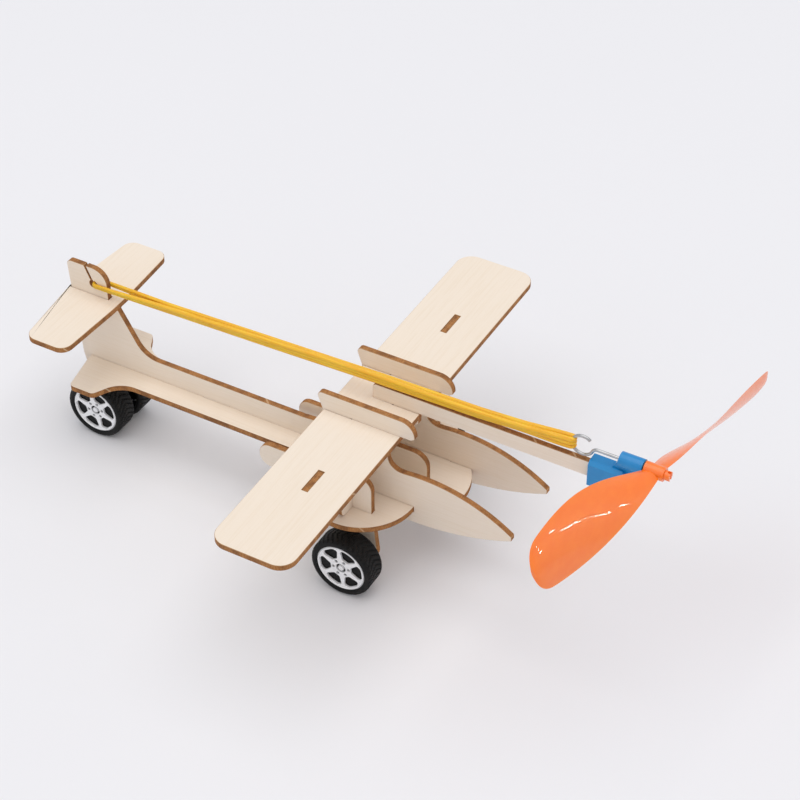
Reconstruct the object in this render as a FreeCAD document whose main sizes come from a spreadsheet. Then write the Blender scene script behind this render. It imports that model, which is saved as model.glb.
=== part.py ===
import FreeCAD, Part
import Sketcher
import math
import os
from FreeCAD import Placement, Rotation, Vector

# Rubber band plane: a laser-cut plywood kit whose twisted band drives a propeller.
# +X is forward, +Y is left and +Z is up. The plates are drawn about a datum at the
# middle of the wing's leading edge, on its top face, and DATUM then carries every
# sub-part to the model's frame: the origin is on the ground below the model's middle.

doc = FreeCAD.newDocument("rubber_band_plane")
sheet = doc.addObject("Spreadsheet::Sheet", "Dims")

DIMENSIONS = {
    "ply": 2.0,
    "slot_play": 0.1,
    "seat_play": 0.05,
    "lap_play": 0.4,
    # wing
    "wing_chord": 26.7,
    "wing_span": 156.0,
    "wing_corner": 5.5,
    "strut_slot_inner": 37.6,
    "strut_slot_length": 9.6,
    "strut_station": -12.8,
    "rib_lap": 17.2,
    "stick_lap": 9.2,
    # fuselage plate and the side plates through it
    "side_plate_offset": 12.0,
    "deck_top": -26.6,
    "boom_width": 16.6,
    "tail_width": 35.2,
    "sponson_radius": 18.0,
    "sponson_station": -13.4,
    "deck_front": 15.7,
    "tail_rear": -124.4,
    # keel
    "keel_rear": -130.4,
    "fin_top": 10.8,
    "keel_top": -19.0,
    "fin_front": -115.0,
    "stabiliser_span": 58.4,
    # motor
    "stick_top": 5.6,
    "stick_front": 64.0,
    "shaft_height": 10.3,
    "wire_diameter": 1.0,
    "hook_radius": 3.4,
    "hook_station": 53.8,
    "propeller_diameter": 122.0,
    "propeller_station": 77.0,
    "hub_front": 3.0,
    "peg_length": 1.8,
    "peg_diameter": 3.0,
    "blade_lean": -8.6,
    "blade_cant": -6.6,
    "blade_reach": 11.13,
    # running gear
    "axle_height": -42.0,
    "front_axle_station": -9.4,
    "rear_axle_station": -118.5,
    "axle_diameter": 2.0,
    "axle_clearance": 0.06,
    "tyre_diameter": 21.2,
    "rim_diameter": 16.8,
    "wheel_width": 8.6,
    "front_track": 68.6,
    "rear_track": 20.6,
    "bracket_offset": 21.0,
}

for row, (alias, value) in enumerate(DIMENSIONS.items(), start=1):
    sheet.set(f"A{row}", alias)
    sheet.set(f"B{row}", str(value))
    sheet.setAlias(f"B{row}", alias)
doc.recompute()


class Size:
    """A length with both its value and the spreadsheet expression that gives it."""

    def __init__(self, value, text):
        self.value = float(value)
        self.text = text

    def __add__(self, other):
        other = as_size(other)
        return Size(self.value + other.value, f"({self.text} + {other.text})")

    def __sub__(self, other):
        other = as_size(other)
        return Size(self.value - other.value, f"({self.text} - {other.text})")

    def __mul__(self, factor):
        return Size(self.value * factor, f"({self.text} * {factor})")

    def __truediv__(self, divisor):
        return Size(self.value / divisor, f"({self.text} / {divisor})")

    def __neg__(self):
        return Size(-self.value, f"(-1 * {self.text})")


def as_size(number):
    return number if isinstance(number, Size) else Size(number, repr(float(number)))


def dim(alias):
    return Size(sheet.get(alias), f"Dims.{alias}")


def bind(item, prop, size):
    """Bind one property of a document object to the spreadsheet."""
    size = as_size(size)
    setattr(item, prop, size.value)
    item.setExpression(prop, size.text)


PLY = dim("ply")
DECK_TOP = dim("deck_top")
DECK_UNDER = DECK_TOP - PLY
SIDE = dim("side_plate_offset")
HEIGHT = dim("shaft_height")
AXLE_Z = dim("axle_height")
GROUND = AXLE_Z - dim("tyre_diameter") / 2
HUB_FRONT = dim("propeller_station") + dim("hub_front")
PEG_FRONT = HUB_FRONT + dim("peg_length")
SEAT = dim("seat_play")
FOREMOST = dim("propeller_station") + dim("blade_reach")
DATUM = Vector(-(dim("keel_rear").value + FOREMOST.value) / 2, 0, -GROUND.value)

# each origin plane's role, and whether its sketch faces along (1) or against (-1) the axis
PLANES = {"XY": ("XY_Plane", 1), "XZ": ("XZ_Plane", -1), "YZ": ("YZ_Plane", 1)}
# the model's axes (0, 1, 2) that a sketch's x and y lie along, then the axis through it
PLANE_AXES = {"XY": (0, 1, 2), "XZ": (0, 2, 1), "YZ": (1, 2, 0)}


def origin_feature(body, role):
    for feature in body.Origin.OriginFeatures:
        if feature.Role == role:
            return feature
    raise RuntimeError(f"no {role} in {body.Label}")


def new_body(label):
    body = doc.addObject("PartDesign::Body", label)
    body.Label = label
    return body


def new_sketch(body, plane, name, offset=0.0):
    """A sketch on one of the body's origin planes, moved along that plane's model axis."""
    role, sign = PLANES[plane]
    offset = as_size(offset) * sign
    sketch = body.newObject("Sketcher::SketchObject", name)
    sketch.AttachmentSupport = [(origin_feature(body, role), "")]
    sketch.MapMode = "FlatFace"
    sketch.AttachmentOffset = Placement(Vector(0, 0, offset.value), Rotation())
    sketch.setExpression("AttachmentOffset.Base.z", offset.text)
    return sketch


def constrain(sketch, kind, size, *places):
    number = sketch.addConstraint(Sketcher.Constraint(kind, *places, size.value))
    sketch.setExpression(f"Constraints[{number}]", size.text)


def arc_through(start, end, radius):
    """The arc between two places; a positive radius bulges to the right of the way."""
    chord = end - start
    rise = abs(radius) - math.sqrt(radius * radius - chord.Length**2 / 4)
    side = Vector(chord.y, -chord.x, 0).normalize()
    return Part.Arc(start, (start + end) / 2 + side * math.copysign(rise, radius), end)


def draw_outline(sketch, corners):
    """A closed outline, anticlockwise, of corners (x, y) or (x, y, radius).

    A radius makes the segment that leaves the corner an arc, and a negative one hollows it.
    """
    corners = [tuple(as_size(value) for value in corner) for corner in corners]
    places = [Vector(corner[0].value, corner[1].value, 0) for corner in corners]
    first = sketch.GeometryCount
    count = len(corners)
    segments = []
    ends = []
    for number, corner in enumerate(corners):
        start, end = places[number], places[(number + 1) % count]
        curved = len(corner) == 3
        segments.append(arc_through(start, end, corner[2].value) if curved else Part.LineSegment(start, end))
        hollow = curved and corner[2].value < 0
        ends.append((first + number, 2 if hollow else 1, 1 if hollow else 2))
    sketch.addGeometry(segments, False)
    for number, (index, start_key, end_key) in enumerate(ends):
        following, next_key, _ = ends[(number + 1) % count]
        sketch.addConstraint(Sketcher.Constraint("Coincident", index, end_key, following, next_key))
    for (index, start_key, _), corner in zip(ends, corners):
        constrain(sketch, "DistanceX", corner[0], -1, 1, index, start_key)
        constrain(sketch, "DistanceY", corner[1], -1, 1, index, start_key)
        if len(corner) == 3:
            constrain(sketch, "Radius", corner[2] if corner[2].value > 0 else -corner[2], index)


def draw_circle(sketch, centre, radius):
    centre = [as_size(value) for value in centre]
    radius = as_size(radius)
    place = Vector(centre[0].value, centre[1].value, 0)
    index = sketch.addGeometry(Part.Circle(place, Vector(0, 0, 1), radius.value), False)
    constrain(sketch, "Radius", radius, index)
    constrain(sketch, "DistanceX", centre[0], -1, 1, index, 3)
    constrain(sketch, "DistanceY", centre[1], -1, 1, index, 3)


def pad(body, sketch, length):
    """Thicken a sketch by half the length on each side of its plane."""
    feature = body.newObject("PartDesign::Pad", "Pad")
    feature.Profile = sketch
    feature.Midplane = True
    bind(feature, "Length", length)
    doc.recompute()


def pocket(body, sketch, length=None):
    """Cut through everything, or half the length on each side of the sketch's plane."""
    before = body.Shape.Volume
    feature = body.newObject("PartDesign::Pocket", "Pocket")
    feature.Profile = sketch
    feature.Midplane = True
    if length is None:
        feature.Type = 1
    else:
        bind(feature, "Length", length)
    doc.recompute()
    if not body.Shape.Volume < before - 1e-3:
        raise RuntimeError(f"{body.Label}: a pocket cut nothing")
    return feature


def edges_at(shape, plane, corner):
    """Names of the straight edges that cross a sketch plane at a corner."""
    across, up, through = PLANE_AXES[plane]
    found = []
    for number, edge in enumerate(shape.Edges, start=1):
        low, high = edge.Vertexes[0].Point, edge.Vertexes[-1].Point
        upright = abs(low[across] - high[across]) + abs(low[up] - high[up]) < 1e-5
        here = abs(low[across] - as_size(corner[0]).value) + abs(low[up] - as_size(corner[1]).value)
        if upright and here < 1e-3 and abs(low[through] - high[through]) > 0.1:
            found.append(f"Edge{number}")
    return found


def round_corners(body, plane, corners, radius, kind="Fillet"):
    """Round, or chamfer, the edges that run through a plate at these corners of its outline."""
    names = []
    for corner in corners:
        found = edges_at(body.Shape, plane, corner)
        if not found:
            raise RuntimeError(f"{body.Label}: no edge at {[as_size(c).value for c in corner[:2]]}")
        names += found
    before = body.Tip
    feature = body.newObject(f"PartDesign::{kind}", kind)
    feature.Base = (before, names)
    bind(feature, "Radius" if kind == "Fillet" else "Size", radius)
    doc.recompute()
    if "Invalid" in feature.State or feature.Shape.isNull():
        raise RuntimeError(f"{body.Label}: rounding by {as_size(radius).value} failed")


def plate(label, plane, corners, offset=0.0, thickness=PLY):
    """A flat plate, its middle at the offset from the origin plane."""
    body = new_body(label)
    sketch = new_sketch(body, plane, "Outline", offset)
    draw_outline(sketch, corners)
    pad(body, sketch, thickness)
    return body


def add_disc(body, plane, centre, radius, offset=0.0, length=PLY):
    sketch = new_sketch(body, plane, "Disc", offset)
    draw_circle(sketch, centre, radius)
    pad(body, sketch, length)


def cut_hole(body, plane, centre, radius):
    sketch = new_sketch(body, plane, "Hole")
    draw_circle(sketch, centre, radius)
    pocket(body, sketch)


def cut_box(body, plane, low, high, offset=0.0, length=None):
    """A right-angled window or open slot, through the piece or of a stated length."""
    sketch = new_sketch(body, plane, "Slot", offset)
    draw_outline(sketch, [low, (high[0], low[1]), high, (low[0], high[1])])
    pocket(body, sketch, length)


def slot_about(middle):
    """The two sides of a slot for the plate that stands at this place."""
    half = (PLY + dim("slot_play")) / 2
    return as_size(middle) - half, as_size(middle) + half


def mirror_outline(right):
    """Complete an outline drawn along the -Y side by its mirror image on the +Y side."""
    left = []
    for number in reversed(range(len(right))):
        before = right[number - 1] if number else ()
        left.append((right[number][0], -right[number][1], *before[2:]))
    return right + left


NODES = {}


def keep(item, place=Vector(0, 0, 0), turn=Rotation()):
    """Register a finished sub-part and carry it from the datum to the model's frame."""
    item.Placement = Placement(DATUM + place, turn)
    NODES[item.Label] = item


# Stations and levels that more than one sub-part uses.
CHORD = dim("wing_chord")
HALF_SPAN = dim("wing_span") / 2
STRUT_X = dim("strut_station")
BRACKET_Y = dim("bracket_offset")
SPONSON_X = dim("sponson_station")
SPONSON_REACH = dim("sponson_radius")
BOOM = dim("boom_width") / 2
FRONT_AXLE_X = dim("front_axle_station")
REAR_AXLE_X = dim("rear_axle_station")
AXLE_HOLE = dim("axle_diameter") / 2 + dim("axle_clearance")
ZERO = as_size(0)
POD_UNDER = as_size(-33.0)
BAND_EYE = (as_size(-120.4), as_size(4.4))
NECK_REAR = as_size(-127.6)
NECK_FRONT = as_size(-112.8)
STABILISER_FRONT = as_size(-110.7)
BRACKET_REAR = as_size(-19.2)
BRACKET_FRONT = as_size(-5.0)
BRACKET_TOP = as_size(-13.4)
LAP_LEVEL = as_size(-20.0)
KEEL_TABS = [(as_size(-80), as_size(-70)), (as_size(-24), as_size(-14))]
STRUT_TAB = (dim("strut_slot_inner"), dim("strut_slot_inner") + dim("strut_slot_length"))


# ---------------------------------------------------------------- wing and tail plates
def make_wing():
    corners = [(-CHORD, -HALF_SPAN), (ZERO, -HALF_SPAN), (ZERO, HALF_SPAN), (-CHORD, HALF_SPAN)]
    body = plate("wing_plate", "XY", corners, -PLY / 2)
    round_corners(body, "XY", corners, dim("wing_corner"))
    past_edge = as_size(3)
    for side in (-1, 1):
        low, high = slot_about(SIDE * side)
        cut_box(body, "XY", (-CHORD - past_edge, low), (-dim("rib_lap") + dim("lap_play"), high))
        rear, front = slot_about(STRUT_X)
        low, high = sorted((STRUT_TAB[0] * side, STRUT_TAB[1] * side), key=lambda size: size.value)
        cut_box(body, "XY", (rear, low - dim("slot_play")), (front, high + dim("slot_play")))
    low, high = slot_about(ZERO)
    cut_box(body, "XY", (-dim("stick_lap") - dim("lap_play"), low), (past_edge, high))
    keep(body)


def make_stabiliser():
    tip = dim("stabiliser_span") / 2
    rear = dim("keel_rear")
    rear_sweep, front_sweep, tip_round = 3.1, 1.3, 4.0
    right = [
        (rear, ZERO - PLY),
        (rear + rear_sweep, -tip),
        (STABILISER_FRONT - front_sweep, -tip),
        (STABILISER_FRONT, ZERO - PLY * 2),
    ]
    body = plate("stabiliser_plate", "XY", mirror_outline(right), -PLY / 2)
    tips = [(x, y * side) for x, y in right[1:3] for side in (1, -1)]
    round_corners(body, "XY", tips, tip_round)
    low, high = slot_about(ZERO)
    cut_box(body, "XY", (rear + dim("slot_play"), low), (dim("fin_front") + dim("slot_play"), high))
    keep(body)


def make_fuselage_plate():
    """Mudguard over the rear wheels, boom, two round sponsons and a short nose tongue."""
    tail = dim("tail_width") / 2
    inner = SIDE - PLY / 2 - dim("slot_play")
    outer = SIDE + PLY / 2 + dim("slot_play")
    mudguard_front, waist_front, shoulder = as_size(-112.6), as_size(-102.4), as_size(4)
    guard_round, waist_hollow, tongue_curve = 1.8, as_size(9.5), as_size(17.9)
    right = [
        (dim("tail_rear"), ZERO - 3),
        (dim("tail_rear") + 2.8, -tail),
        (mudguard_front, -tail),
        (mudguard_front + 1.8, -tail + 3.2, -waist_hollow),
        (waist_front, -BOOM),
        (SPONSON_X - SPONSON_REACH - shoulder, -BOOM),
        (SPONSON_X - SPONSON_REACH, -outer, SPONSON_REACH),
        (SPONSON_X, -outer - SPONSON_REACH, SPONSON_REACH),
        (SPONSON_X + SPONSON_REACH, -outer),
        (SPONSON_X + SPONSON_REACH, -inner),
        (dim("deck_front") - 3.7, -inner, tongue_curve),
    ]
    body = plate("fuselage_plate", "XY", mirror_outline(right), DECK_TOP - PLY / 2)
    corners = [(x, y * side) for x, y, *_ in right[1:3] for side in (1, -1)]
    round_corners(body, "XY", corners, guard_round)
    low, high = slot_about(ZERO)
    cut_box(body, "XY", (dim("tail_rear") - 3, low), (NECK_FRONT + SEAT, high), DECK_TOP)
    for rear, front in KEEL_TABS:
        cut_box(body, "XY", (rear - SEAT, low), (front + SEAT, high), DECK_TOP)
    for side in (-1, 1):
        low, high = slot_about(BRACKET_Y * side)
        cut_box(body, "XY", (BRACKET_REAR - SEAT, low), (BRACKET_FRONT + SEAT, high), DECK_TOP)
    keep(body)


# ---------------------------------------------------------------- upright plates
def make_keel():
    """Fin with its band hook, swept down to a low strip that stands on the fuselage plate."""
    rear, top, fin_top = dim("keel_rear"), dim("keel_top"), dim("fin_top")
    shoulder = STABILISER_FRONT - 1.5
    lobe = as_size(5.4)
    tabs = []
    for tab_rear, tab_front in KEEL_TABS:
        tabs += [(tab_rear, DECK_TOP), (tab_rear, DECK_UNDER)]
        tabs += [(tab_front, DECK_UNDER), (tab_front, DECK_TOP)]
    crest = [(dim("fin_front"), fin_top), (rear, fin_top)]
    elbow = (as_size(-102.6), top)
    nose = (as_size(2.8), as_size(-16.4))
    corners = [
        (NECK_REAR, DECK_TOP),
        (REAR_AXLE_X - lobe, AXLE_Z),
        (REAR_AXLE_X + lobe, AXLE_Z),
        (NECK_FRONT, DECK_TOP),
        *tabs,
        (nose[0], DECK_TOP),
        nose,
        (as_size(-10), nose[1]),
        (as_size(-42), top),
        elbow,
        (shoulder, -PLY),
        (dim("fin_front"), -PLY),
        *crest,
    ]
    body = plate("keel_plate", "XZ", corners)
    round_corners(body, "XZ", [elbow], 9)
    round_corners(body, "XZ", [nose], 5)
    round_corners(body, "XZ", crest[:1], 5.5)
    round_corners(body, "XZ", crest[1:], 1.8)
    add_disc(body, "XZ", (REAR_AXLE_X, AXLE_Z), lobe)
    cut_hole(body, "XZ", (REAR_AXLE_X, AXLE_Z), AXLE_HOLE)
    eye_x, eye_z = BAND_EYE
    eye_radius, slit_half, slit_lean = 1.5, 0.4, 3.2
    slit_top = fin_top + 1
    cut_hole(body, "XZ", BAND_EYE, eye_radius)
    slit = new_sketch(body, "XZ", "Slit")
    foot = [(eye_x - slit_half, eye_z), (eye_x + slit_half, eye_z)]
    mouth = [(x - slit_lean, slit_top) for x, _ in reversed(foot)]
    draw_outline(slit, foot + mouth)
    pocket(body, slit)
    keep(body)


def make_side_plate(label, side):
    """Nose pod, pylon and the rib above the wing, in one piece that laps the wing."""
    wing_under = -PLY - dim("slot_play")
    rib_top = as_size(6.3)
    tip = (as_size(38.3), as_size(-24.6))
    stub = [(as_size(-51.2), as_size(-24.2)), (as_size(-51.2), POD_UNDER)]
    hollow = (as_size(-35.5), as_size(-24.2))
    crook = (as_size(-4.2), as_size(-14.4))
    rib_nose = (as_size(4.9), rib_top)
    heel = (as_size(-29.4), rib_top)
    corners = [
        stub[1],
        (as_size(1.0), POD_UNDER, as_size(88)),
        (tip[0], tip[1] - 0.8),
        (tip[0], tip[1] + 0.8, as_size(52)),
        (as_size(1.5), as_size(-14.4)),
        crook,
        (as_size(-4.6), wing_under),
        (-dim("rib_lap"), wing_under),
        (-dim("rib_lap"), ZERO),
        (as_size(3.6), ZERO),
        (as_size(4.9), as_size(0.9)),
        rib_nose,
        heel,
        (-CHORD - 0.6, ZERO),
        (-CHORD - 0.6, as_size(-4)),
        hollow,
        stub[0],
    ]
    body = plate(label, "XZ", corners, SIDE * side)
    round_corners(body, "XZ", stub, 4)
    round_corners(body, "XZ", [hollow], 7)
    round_corners(body, "XZ", [crook], 4.5)
    round_corners(body, "XZ", [rib_nose], 5)
    round_corners(body, "XZ", [heel], 1.6)
    window = new_sketch(body, "XZ", "Window")
    rear, front = SPONSON_X - SPONSON_REACH - 2.2, SPONSON_X + SPONSON_REACH + dim("slot_play")
    low, high = DECK_UNDER - SEAT, DECK_TOP + SEAT
    draw_outline(window, [(rear, low), (front, low), (front, high), (rear, high)])
    pocket(body, window)
    keep(body)


def make_motor_stick():
    """Strip on the wing's centre line, with a leg that laps the wing's leading edge."""
    lap = dim("stick_lap")
    rear, front, top = as_size(-16.4), dim("stick_front"), dim("stick_top")
    under = -PLY - dim("slot_play")
    foot, leg_front = as_size(-5.0), as_size(-0.4)
    leg = [(rear, foot), (leg_front, foot)]
    corners = [*leg, (leg_front, ZERO), (front, ZERO), (front, top), (rear, top)]
    corners += [(rear, ZERO), (-lap, ZERO), (-lap, under), (rear, under)]
    body = plate("motor_stick", "XZ", corners)
    round_corners(body, "XZ", [*leg, (rear, top)], 1.3)
    keep(body)


def make_gear_bracket(label, side):
    """Upright plate through a sponson: a tongue above it, an axle lobe below it."""
    upper = [(BRACKET_FRONT, BRACKET_TOP), (BRACKET_REAR, BRACKET_TOP)]
    lobe = as_size(6.2)
    shoulder_front, shoulder_rear = BRACKET_FRONT + 1.2, BRACKET_REAR - 1.2
    corners = [
        (FRONT_AXLE_X - lobe, AXLE_Z),
        (FRONT_AXLE_X + lobe, AXLE_Z),
        (FRONT_AXLE_X + 5.2, DECK_UNDER - 4),
        (shoulder_front, DECK_UNDER),
        (BRACKET_FRONT, DECK_UNDER),
        *upper,
        (BRACKET_REAR, DECK_UNDER),
        (shoulder_rear, DECK_UNDER),
    ]
    body = plate(label, "XZ", corners, BRACKET_Y * side)
    round_corners(body, "XZ", upper, 4.6)
    add_disc(body, "XZ", (FRONT_AXLE_X, AXLE_Z), lobe, BRACKET_Y * side)
    cut_hole(body, "XZ", (FRONT_AXLE_X, AXLE_Z), AXLE_HOLE)
    rear, front = slot_about(STRUT_X)
    cut_box(body, "XZ", (rear, LAP_LEVEL - SEAT), (front, BRACKET_TOP + 2))
    keep(body)


def make_wing_strut(label, side):
    """Upright brace from a sponson to the wing, crossing its bracket by a half lap."""
    under = -PLY
    foot_out, foot_in = as_size(28.4), as_size(16.0)
    head_out = STRUT_TAB[1] + 1.2
    tab_top = as_size(-0.15)
    corners = [
        (foot_in, DECK_TOP),
        (foot_out, DECK_TOP),
        (foot_out, as_size(-15.5)),
        (head_out, under - 1.5),
        (head_out, under),
        (STRUT_TAB[1], under),
        (STRUT_TAB[1], tab_top),
        (STRUT_TAB[0], tab_top),
        (STRUT_TAB[0], under),
        (as_size(33.0), under),
        (foot_in, as_size(-14.0)),
    ]
    if side < 0:
        corners = [(-y, z) for y, z in reversed(corners)]
    body = plate(label, "YZ", corners, STRUT_X)
    round_corners(body, "YZ", [(foot_out * side, DECK_TOP)], 2.6)
    low, high = slot_about(BRACKET_Y * side)
    cut_box(body, "YZ", (low, DECK_TOP - 2), (high, LAP_LEVEL + SEAT))
    keep(body)


# ---------------------------------------------------------------- wheels and axles
def make_axle(label, station, track):
    end_inset = 0.6
    axle = doc.addObject("Part::Cylinder", label)
    axle.Label = label
    bind(axle, "Radius", dim("axle_diameter") / 2)
    length = track - 2 * end_inset
    bind(axle, "Height", length)
    start = Vector(station.value, -length.value / 2, AXLE_Z.value)
    keep(axle, start, Rotation(Vector(1, 0, 0), -90))


def revolve(label, corners):
    """A ring about the Y axis from a profile of (y, radius) corners."""
    body = new_body(label)
    sketch = new_sketch(body, "YZ", "Profile")
    draw_outline(sketch, corners)
    feature = body.newObject("PartDesign::Revolution", "Revolution")
    feature.Profile = sketch
    feature.ReferenceAxis = (sketch, ["H_Axis"])
    feature.Angle = 360
    doc.recompute()
    return body


def make_tyre(label, station, place_y, turn):
    half, outer, inner = dim("wheel_width") / 2, dim("tyre_diameter") / 2, dim("rim_diameter") / 2
    shoulder = as_size(1.3)
    corners = [
        (-half, inner),
        (half, inner),
        (half, outer - shoulder, shoulder),
        (half - shoulder, outer),
        (-half + shoulder, outer, shoulder),
        (-half, outer - shoulder),
    ]
    body = revolve(label, corners)
    keep(body, Vector(station.value, place_y, AXLE_Z.value), turn)


def make_rim(label, station, place_y, turn):
    """Barrel, six-spoked disc and a hub that is pressed on the axle."""
    seat, bore = dim("rim_diameter") / 2, dim("axle_diameter") / 2
    tyre_proud, barrel_thickness = 0.3, 1.0
    half = dim("wheel_width") / 2 - tyre_proud
    wall, hub = seat - barrel_thickness, as_size(2.3)
    disc_in, disc_out = as_size(0.9), as_size(2.4)
    hub_in, hub_out = -half - 0.9, half - 0.5
    corners = [
        (hub_in, bore),
        (hub_out, bore),
        (hub_out, hub),
        (disc_out, hub),
        (disc_out, wall),
        (half, wall),
        (half, seat),
        (-half, seat),
        (-half, wall),
        (disc_in, wall),
        (disc_in, hub),
        (hub_in, hub),
    ]
    body = revolve(label, corners)
    window = new_sketch(body, "XZ", "Window")
    near, far = as_size(3.4), wall - 0.5
    near_half, far_half, far_level = near * 0.28, far * 0.36, far * 0.93
    corners = [(-near_half, near), (near_half, near), (far_half, far_level, far), (-far_half, far_level)]
    draw_outline(window, corners)
    cut = pocket(body, window)
    pattern = body.newObject("PartDesign::PolarPattern", "Spokes")
    pattern.Originals = [cut]
    pattern.Axis = (origin_feature(body, "Y_Axis"), [""])
    pattern.Angle = 360
    pattern.Occurrences = 6
    body.Tip = pattern
    doc.recompute()
    keep(body, Vector(station.value, place_y, AXLE_Z.value), turn)


def make_wheels():
    middle_inset = dim("wheel_width").value / 2
    for name, station, track in (
        ("front", FRONT_AXLE_X, dim("front_track")),
        ("rear", REAR_AXLE_X, dim("rear_track")),
    ):
        make_axle(f"{name}_axle", station, track)
        for hand, side in (("left", 1), ("right", -1)):
            turn = Rotation(Vector(0, 0, 1), 0 if side > 0 else 180)
            place_y = side * (track.value / 2 - middle_inset)
            make_rim(f"{name}_{hand}_rim", station, place_y, turn)
            make_tyre(f"{name}_{hand}_tyre", station, place_y, turn)


# ---------------------------------------------------------------- propeller unit
TUBE_REAR = as_size(66.0)
TUBE_FRONT = as_size(73.4)
BLOCK_REAR = as_size(57.0)
BLOCK_WIDTH = as_size(5.6)
WIRE_FRONT = PEG_FRONT - 1


def make_nose_block():
    """Moulded socket for the motor stick, carrying the propeller shaft's bearing tube."""
    block_front = as_size(69.5)
    floor_z, roof_z = ZERO - 1.7, dim("stick_top") + 1.6
    slope = 2.0
    corners = [
        (BLOCK_REAR, floor_z),
        (block_front - slope, floor_z),
        (block_front, floor_z + slope * 1.8),
        (block_front, roof_z - slope),
        (block_front - slope, roof_z),
        (BLOCK_REAR, roof_z),
    ]
    body = plate("nose_block", "XZ", corners, 0.0, BLOCK_WIDTH)
    top_edges = [(BLOCK_WIDTH / 2 * side, roof_z) for side in (-1, 1)]
    round_corners(body, "YZ", top_edges, 1.1, "Chamfer")
    web = new_sketch(body, "XZ", "Web")
    web_rear, web_front = TUBE_REAR - 3.5, TUBE_FRONT - 1.2
    web_foot = [(web_rear, roof_z - 2.2), (web_front, roof_z - 1.2)]
    draw_outline(web, [*web_foot, (web_front, HEIGHT), (TUBE_REAR, HEIGHT)])
    pad(body, web, 2.2)
    add_disc(body, "YZ", (ZERO, HEIGHT), 2.4, (TUBE_REAR + TUBE_FRONT) / 2, TUBE_FRONT - TUBE_REAR)
    cut_hole(body, "YZ", (ZERO, HEIGHT), dim("wire_diameter") / 2 + 0.08)
    low, high = slot_about(ZERO)
    depth = dim("stick_front") + dim("slot_play") - BLOCK_REAR
    past_rear = 2.0
    socket = ((low, ZERO - SEAT), (high, dim("stick_top") + SEAT))
    cut_box(body, "YZ", *socket, BLOCK_REAR + (depth - past_rear) / 2, depth + past_rear)
    keep(body)


def make_hook_shaft():
    """Bent wire: an open hook round the shaft's line, a neck, then the straight shaft."""
    hook_x, hook_radius = dim("hook_station"), dim("hook_radius")
    neck_radius = 1.8
    centre = Vector(hook_x.value, HEIGHT.value, 0)
    reach = math.sqrt(hook_radius.value**2 + 2 * hook_radius.value * neck_radius)
    neck_top = centre + Vector(reach, 0, 0)
    neck_centre = neck_top - Vector(0, neck_radius, 0)
    touch = centre + (neck_centre - centre).normalize() * hook_radius.value
    start_angle = math.atan2(touch.y - centre.y, touch.x - centre.x)
    neck_angle = math.atan2(touch.y - neck_centre.y, touch.x - neck_centre.x)
    front = Vector(WIRE_FRONT.value, HEIGHT.value, 0)

    body = new_body("hook_shaft")
    path = new_sketch(body, "XZ", "Path")
    upward = Vector(0, 0, 1)
    neck = Part.ArcOfCircle(Part.Circle(neck_centre, upward, neck_radius), math.pi / 2, neck_angle)
    hook_end = math.radians(48)
    hook_start = start_angle + 2 * math.pi
    hook = Part.ArcOfCircle(Part.Circle(centre, upward, hook_radius.value), hook_end, hook_start)
    path.addGeometry([Part.LineSegment(front, neck_top), neck, hook], False)
    path.addConstraint(Sketcher.Constraint("Tangent", 0, 2, 1, 1))
    path.addConstraint(Sketcher.Constraint("Tangent", 1, 2, 2, 2))
    path.addConstraint(Sketcher.Constraint("Horizontal", 0))
    constrain(path, "DistanceX", WIRE_FRONT, -1, 1, 0, 1)
    constrain(path, "DistanceY", HEIGHT, -1, 1, 0, 1)
    constrain(path, "Radius", as_size(neck_radius), 1)
    constrain(path, "Radius", hook_radius, 2)
    constrain(path, "DistanceX", hook_x, -1, 1, 2, 3)
    constrain(path, "DistanceY", HEIGHT, -1, 1, 2, 3)
    section = new_sketch(body, "YZ", "Section", WIRE_FRONT)
    draw_circle(section, (ZERO, HEIGHT), dim("wire_diameter") / 2)
    pipe = body.newObject("PartDesign::AdditivePipe", "Wire")
    pipe.Profile = section
    pipe.Spine = (path, ["Edge1", "Edge2", "Edge3"])
    doc.recompute()
    keep(body)


# Places along a blade are shares of the way from the shaft (0) to the tip (1).
BLADE_ROOT = 0.035
BLADE_END = 0.997
WIDEST_AT = 0.65
TIP_ROUNDING = 0.14
BLADE_STEPS = 13
# The pitch angle's tangent is PITCH_RISE over the place, which PITCH_EASE holds back at the root.
PITCH_RISE = 0.45
PITCH_EASE = 0.08
# Chords, thickness, sweep and hub are in mm; the camber is a share of the chord.
ROOT_CHORD = 4.2
WIDEST_CHORD = 17.4
BLADE_THICKNESS = 1.1
BLADE_SWEEP = 1.3
BLADE_CAMBER = 0.05
HUB_RADIUS = 2.2
# The stopped propeller's turn about its shaft, in degrees.
PARKED_TURN = -5.4


def blade_chord(part_way):
    """Chord of the blade, swelling to its widest and then closing in a round tip."""
    swell = math.sin(math.pi / 2 * part_way / WIDEST_AT)
    into_tip = max(0.0, (part_way - 1 + TIP_ROUNDING) / TIP_ROUNDING)
    return (ROOT_CHORD + (WIDEST_CHORD - ROOT_CHORD) * swell) * math.sqrt(1 - into_tip**4)


def blade_pitch(part_way):
    """Angle of the chord to the disc that the propeller sweeps, in radians."""
    return math.atan(PITCH_RISE / (part_way + PITCH_EASE))


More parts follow.
